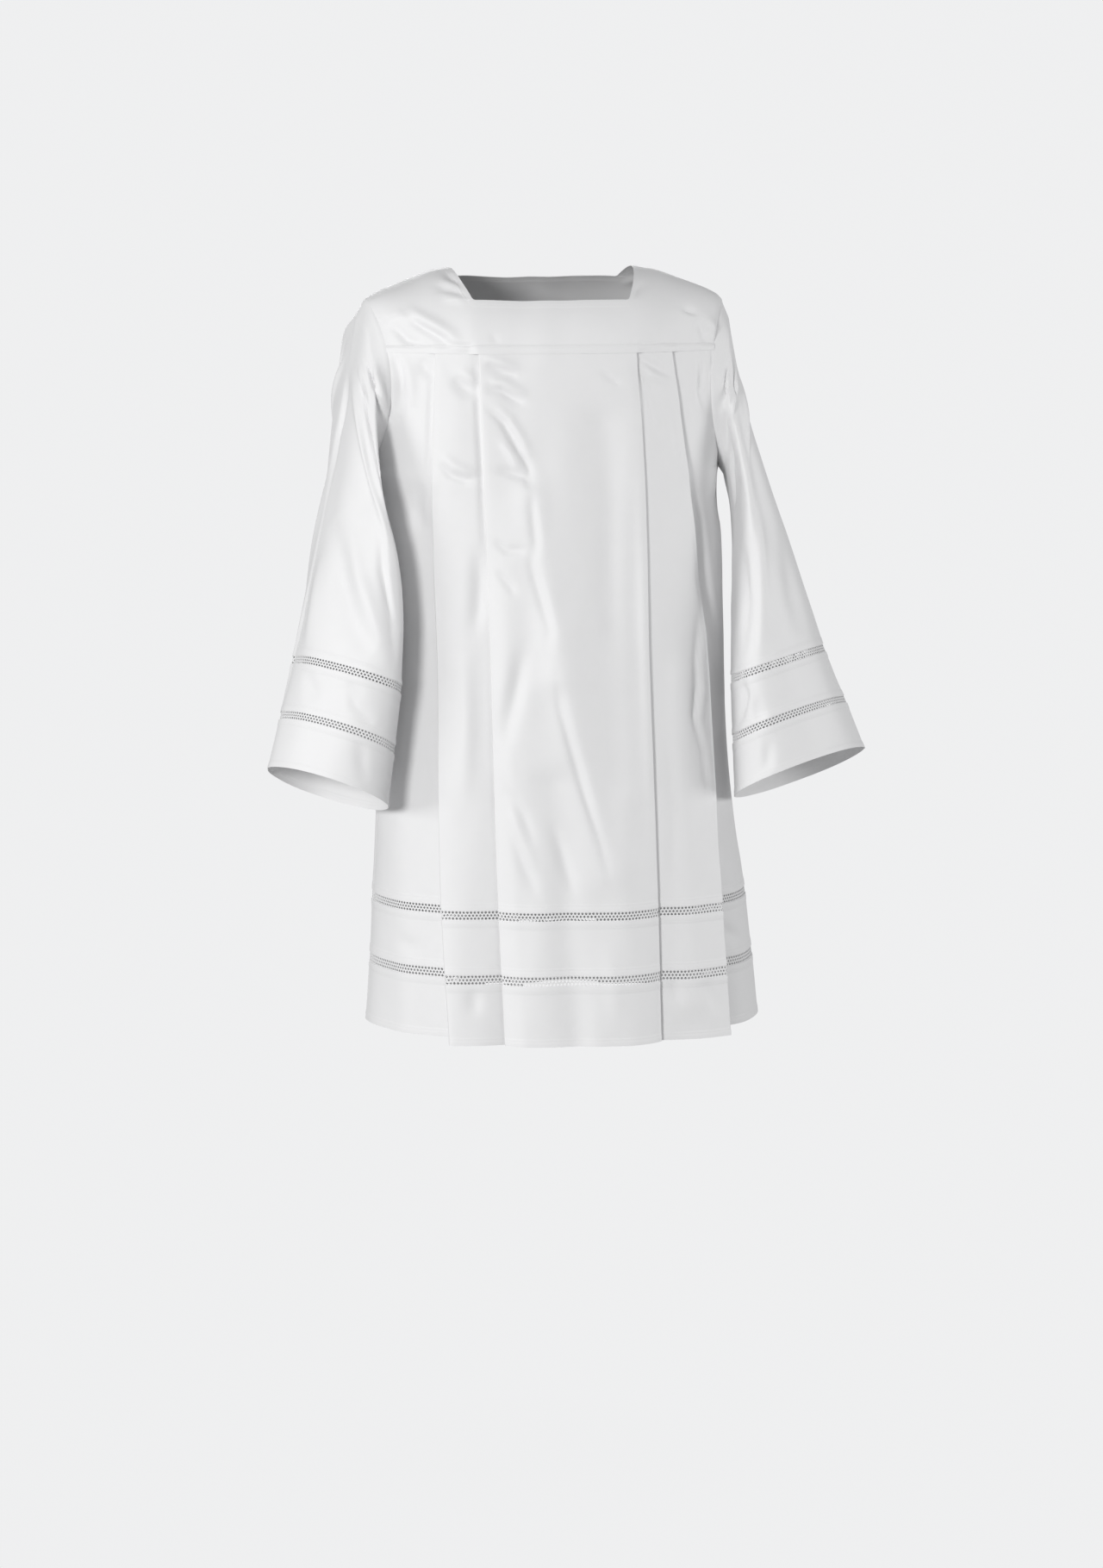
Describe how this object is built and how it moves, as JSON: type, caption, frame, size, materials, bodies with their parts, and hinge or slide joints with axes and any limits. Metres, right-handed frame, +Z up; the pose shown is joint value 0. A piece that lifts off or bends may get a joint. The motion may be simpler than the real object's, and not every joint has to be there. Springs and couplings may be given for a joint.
{
  "type": "surplice",
  "caption": "White pleated surplice, worn shape, with a square neck, plain yokes, wide sleeves, and open-net insertions near the hem and the cuffs.",
  "frame": {"origin": "midway between the wearer's shoulders, at the height of the neck opening's upper corners, on the line of the side seams", "axes": "+Z up, along the drop from shoulder to hem; the front of the garment faces -Y; +X is the viewer's right, which is the wearer's left"},
  "size_m": [0.7261, 0.4068, 0.9052],
  "materials": {
    "cloth": "smooth white cotton blend with a soft satin sheen",
    "net": "matt white openwork insertion, small holes in staggered rows"
  },
  "bodies": {
    "root": {"front_yoke": "cloth", "back_yoke": "cloth", "front_panel": "cloth", "back_panel": "cloth", "front_strip": "cloth", "back_strip": "cloth", "front_hem": "cloth", "back_hem": "cloth", "left_sleeve": "cloth", "left_sleeve_strip": "cloth", "left_cuff": "cloth", "right_sleeve": "cloth", "right_sleeve_strip": "cloth", "right_cuff": "cloth", "front_lace_upper": "net", "back_lace_upper": "net", "front_lace_lower": "net", "back_lace_lower": "net", "left_sleeve_lace_upper": "net", "left_sleeve_lace_lower": "net", "right_sleeve_lace_upper": "net", "right_sleeve_lace_lower": "net"}
  },
  "joints": []
}
